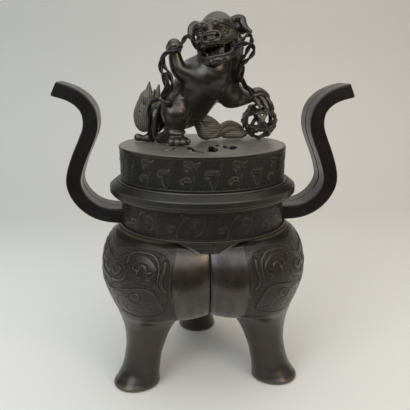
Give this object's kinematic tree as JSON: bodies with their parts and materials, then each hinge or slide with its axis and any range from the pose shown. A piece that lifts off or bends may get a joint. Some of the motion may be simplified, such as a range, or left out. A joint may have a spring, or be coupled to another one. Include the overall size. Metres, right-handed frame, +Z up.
{
  "type": "tripod incense burner",
  "caption": "Three-lobed bronze incense burner on tripod legs, strap handles, pierced lift-off cover with a lion finial.",
  "frame": {"origin": "middle of the footprint box on the ground under the feet; the vessel's axis stands 6.25 mm in front of it, because the back lobe reaches further than the flange in front", "axes": "+Z up along the vessel's axis, +X towards the right handle, -Y towards the viewer, with the single leg at the back on +Y"},
  "size_m": [0.2915, 0.1988, 0.3631],
  "materials": {
    "body_bronze": "cast bronze with a dark brown wax patina, satin",
    "dark_bronze": "cast bronze with a near black brown patina, satin",
    "lid_bronze": "cast bronze with an olive grey brown patina, worn matt",
    "lion_bronze": "cast bronze with a dark brown patina rubbed on the high spots"
  },
  "bodies": {
    "vessel": {"bowl": "body_bronze", "leg_back": "body_bronze", "leg_front_left": "body_bronze", "leg_front_right": "body_bronze", "neck_band": "body_bronze", "mouth_rim": "body_bronze", "handle_left": "dark_bronze", "handle_left_rivet_front": "dark_bronze", "handle_left_rivet_back": "dark_bronze", "handle_right": "dark_bronze", "handle_right_rivet_front": "dark_bronze", "handle_right_rivet_back": "dark_bronze"},
    "cover": {"cover_flange": "lid_bronze", "cover_drum": "lid_bronze", "cover_locating_ring": "lid_bronze", "lion_body": "lion_bronze", "lion_head": "lion_bronze", "lion_jaw": "lion_bronze", "lion_ear_left": "lion_bronze", "lion_ear_right": "lion_bronze", "lion_mane": "lion_bronze", "lion_mane_tress": "lion_bronze", "lion_foreleg_raised": "lion_bronze", "lion_foreleg_planted": "lion_bronze", "lion_hind_leg_far": "lion_bronze", "lion_hair_lock": "lion_bronze", "lion_tail_plume": "lion_bronze", "lion_flame_plume": "lion_bronze", "brocade_ball": "dark_bronze", "lion_elbow_tuft": "dark_bronze", "ribbon_left": "dark_bronze", "ribbon_right": "dark_bronze", "ribbon_hanging": "dark_bronze"}
  },
  "joints": [
    {"name": "cover_lift", "type": "slide", "parent": "vessel", "child": "cover", "axis": [0, 0, 1], "range_m": [0, 0.13]}
  ]
}
